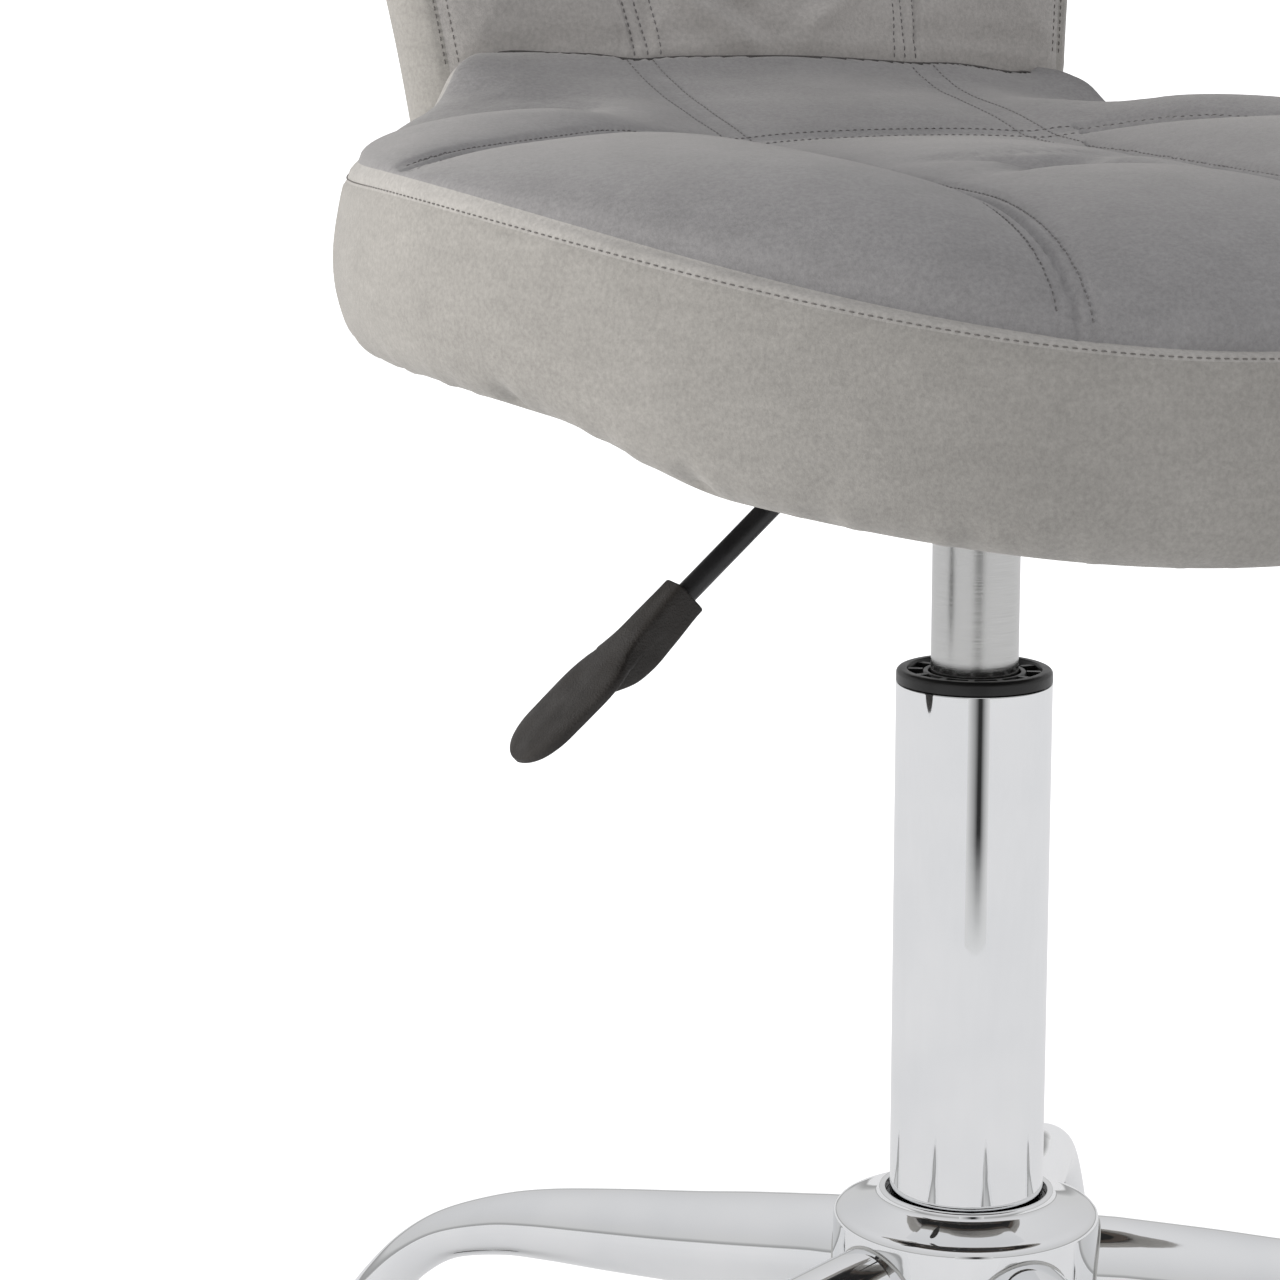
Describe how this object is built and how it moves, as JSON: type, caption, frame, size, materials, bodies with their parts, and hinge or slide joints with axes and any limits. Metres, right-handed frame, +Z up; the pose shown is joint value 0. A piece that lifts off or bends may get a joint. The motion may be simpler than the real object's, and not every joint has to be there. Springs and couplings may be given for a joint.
{
  "type": "adjustable swivel stool",
  "caption": "Low-backed upholstered swivel stool with a gas-lift column, height lever and chromed star base on twin-wheel castors.",
  "frame": {"origin": "on the floor, on the column's vertical axis, which is also within a few millimetres of the middle of the footprint", "axes": "+Z up along the column; the stool faces -Y, so the back is at +Y and the height lever at -X, the sitter's right"},
  "size_m": [0.549, 0.5483, 0.8053],
  "materials": {
    "velvet": "short-pile grey velvet with a soft sheen, double topstitched seams",
    "dust_fabric": "matt black non-woven under-cover",
    "chrome": "mirror-bright chrome plate",
    "brushed_steel": "satin ground steel",
    "zinc": "bright zinc-plated steel",
    "black_steel": "black powder coat",
    "black_plastic": "smooth black moulding",
    "grip_plastic": "grained dark plastic",
    "castor_nylon": "satin black nylon",
    "plywood": "raw plywood"
  },
  "bodies": {
    "base": {"hub": "chrome", "leg_1": "chrome", "leg_2": "chrome", "leg_3": "chrome", "leg_4": "chrome", "leg_5": "chrome", "castor_socket_1": "zinc", "castor_socket_2": "zinc", "castor_socket_3": "zinc", "castor_socket_4": "zinc", "castor_socket_5": "zinc", "column_tube": "chrome", "column_base_plate": "zinc", "guide_sleeve": "black_plastic", "column_collar": "black_plastic"},
    "spindle": {"piston_rod": "zinc", "piston": "black_plastic", "thrust_bearing": "zinc", "retaining_clip": "zinc"},
    "seat": {"gas_cylinder": "brushed_steel", "taper_socket": "black_steel", "mechanism_housing": "black_steel", "mounting_plate": "black_steel", "mounting_bolt_1": "zinc", "mounting_bolt_2": "zinc", "mounting_bolt_3": "zinc", "mounting_bolt_4": "zinc", "lever_pivot_pin": "zinc", "seat_board": "plywood", "dust_cover": "dust_fabric", "seat_cushion": "velvet", "back_bracket_left": "black_steel", "back_bracket_right": "black_steel", "back_board": "plywood", "back_cushion": "velvet", "back_cover": "velvet"},
    "lever": {"lever_rod": "black_steel", "lever_grip": "grip_plastic"},
    "valve": {"valve_pin": "zinc"},
    "castor_1": {"castor_stem_1": "zinc", "castor_hood_1": "castor_nylon"},
    "wheel_left_1": {"castor_wheel_left_1": "castor_nylon"},
    "wheel_right_1": {"castor_wheel_right_1": "castor_nylon"},
    "castor_2": {"castor_stem_2": "zinc", "castor_hood_2": "castor_nylon"},
    "wheel_left_2": {"castor_wheel_left_2": "castor_nylon"},
    "wheel_right_2": {"castor_wheel_right_2": "castor_nylon"},
    "castor_3": {"castor_stem_3": "zinc", "castor_hood_3": "castor_nylon"},
    "wheel_left_3": {"castor_wheel_left_3": "castor_nylon"},
    "wheel_right_3": {"castor_wheel_right_3": "castor_nylon"},
    "castor_4": {"castor_stem_4": "zinc", "castor_hood_4": "castor_nylon"},
    "wheel_left_4": {"castor_wheel_left_4": "castor_nylon"},
    "wheel_right_4": {"castor_wheel_right_4": "castor_nylon"},
    "castor_5": {"castor_stem_5": "zinc", "castor_hood_5": "castor_nylon"},
    "wheel_left_5": {"castor_wheel_left_5": "castor_nylon"},
    "wheel_right_5": {"castor_wheel_right_5": "castor_nylon"}
  },
  "joints": [
    {"name": "seat_swivel", "type": "hinge", "parent": "base", "child": "spindle", "pos_m": [0, 0, 0.13], "axis": [0, 0, 1], "continuous": true},
    {"name": "seat_height", "type": "slide", "parent": "spindle", "child": "seat", "axis": [0, 0, 1], "range_m": [-0.028, 0.072]},
    {"name": "lever_pull", "type": "hinge", "parent": "seat", "child": "lever", "pos_m": [-0.018, 0, 0.4585], "axis": [0, 1, 0], "range_deg": [0, 10], "stiffness_Nm_per_rad": 2, "springref_deg": -6.88},
    {"name": "valve_press", "type": "slide", "parent": "seat", "child": "valve", "axis": [0, 0, -1], "range_m": [0, 0.0035]},
    {"name": "castor_swivel_1", "type": "hinge", "parent": "base", "child": "castor_1", "pos_m": [0, -0.2625, 0.06], "axis": [0, 0, 1], "continuous": true},
    {"name": "wheel_roll_left_1", "type": "hinge", "parent": "castor_1", "child": "wheel_left_1", "pos_m": [0, -0.2445, 0.025], "axis": [-1, 0, 0], "continuous": true},
    {"name": "wheel_roll_right_1", "type": "hinge", "parent": "castor_1", "child": "wheel_right_1", "pos_m": [0, -0.2445, 0.025], "axis": [-1, 0, 0], "continuous": true},
    {"name": "castor_swivel_2", "type": "hinge", "parent": "base", "child": "castor_2", "pos_m": [0.24965, -0.08112, 0.06], "axis": [0, 0, 1], "continuous": true},
    {"name": "wheel_roll_left_2", "type": "hinge", "parent": "castor_2", "child": "wheel_left_2", "pos_m": [0.24965, -0.06312, 0.025], "axis": [-1, 0, 0], "continuous": true},
    {"name": "wheel_roll_right_2", "type": "hinge", "parent": "castor_2", "child": "wheel_right_2", "pos_m": [0.24965, -0.06312, 0.025], "axis": [-1, 0, 0], "continuous": true},
    {"name": "castor_swivel_3", "type": "hinge", "parent": "base", "child": "castor_3", "pos_m": [0.15429, 0.21237, 0.06], "axis": [0, 0, 1], "continuous": true},
    {"name": "wheel_roll_left_3", "type": "hinge", "parent": "castor_3", "child": "wheel_left_3", "pos_m": [0.15429, 0.23037, 0.025], "axis": [-1, 0, 0], "continuous": true},
    {"name": "wheel_roll_right_3", "type": "hinge", "parent": "castor_3", "child": "wheel_right_3", "pos_m": [0.15429, 0.23037, 0.025], "axis": [-1, 0, 0], "continuous": true},
    {"name": "castor_swivel_4", "type": "hinge", "parent": "base", "child": "castor_4", "pos_m": [-0.15429, 0.21237, 0.06], "axis": [0, 0, 1], "continuous": true},
    {"name": "wheel_roll_left_4", "type": "hinge", "parent": "castor_4", "child": "wheel_left_4", "pos_m": [-0.15429, 0.23037, 0.025], "axis": [-1, 0, 0], "continuous": true},
    {"name": "wheel_roll_right_4", "type": "hinge", "parent": "castor_4", "child": "wheel_right_4", "pos_m": [-0.15429, 0.23037, 0.025], "axis": [-1, 0, 0], "continuous": true},
    {"name": "castor_swivel_5", "type": "hinge", "parent": "base", "child": "castor_5", "pos_m": [-0.24965, -0.08112, 0.06], "axis": [0, 0, 1], "continuous": true},
    {"name": "wheel_roll_left_5", "type": "hinge", "parent": "castor_5", "child": "wheel_left_5", "pos_m": [-0.24965, -0.06312, 0.025], "axis": [-1, 0, 0], "continuous": true},
    {"name": "wheel_roll_right_5", "type": "hinge", "parent": "castor_5", "child": "wheel_right_5", "pos_m": [-0.24965, -0.06312, 0.025], "axis": [-1, 0, 0], "continuous": true}
  ],
  "couplings": [
    {"joint": "valve_press", "follows": "lever_pull", "m_per_rad": 0.018}
  ]
}
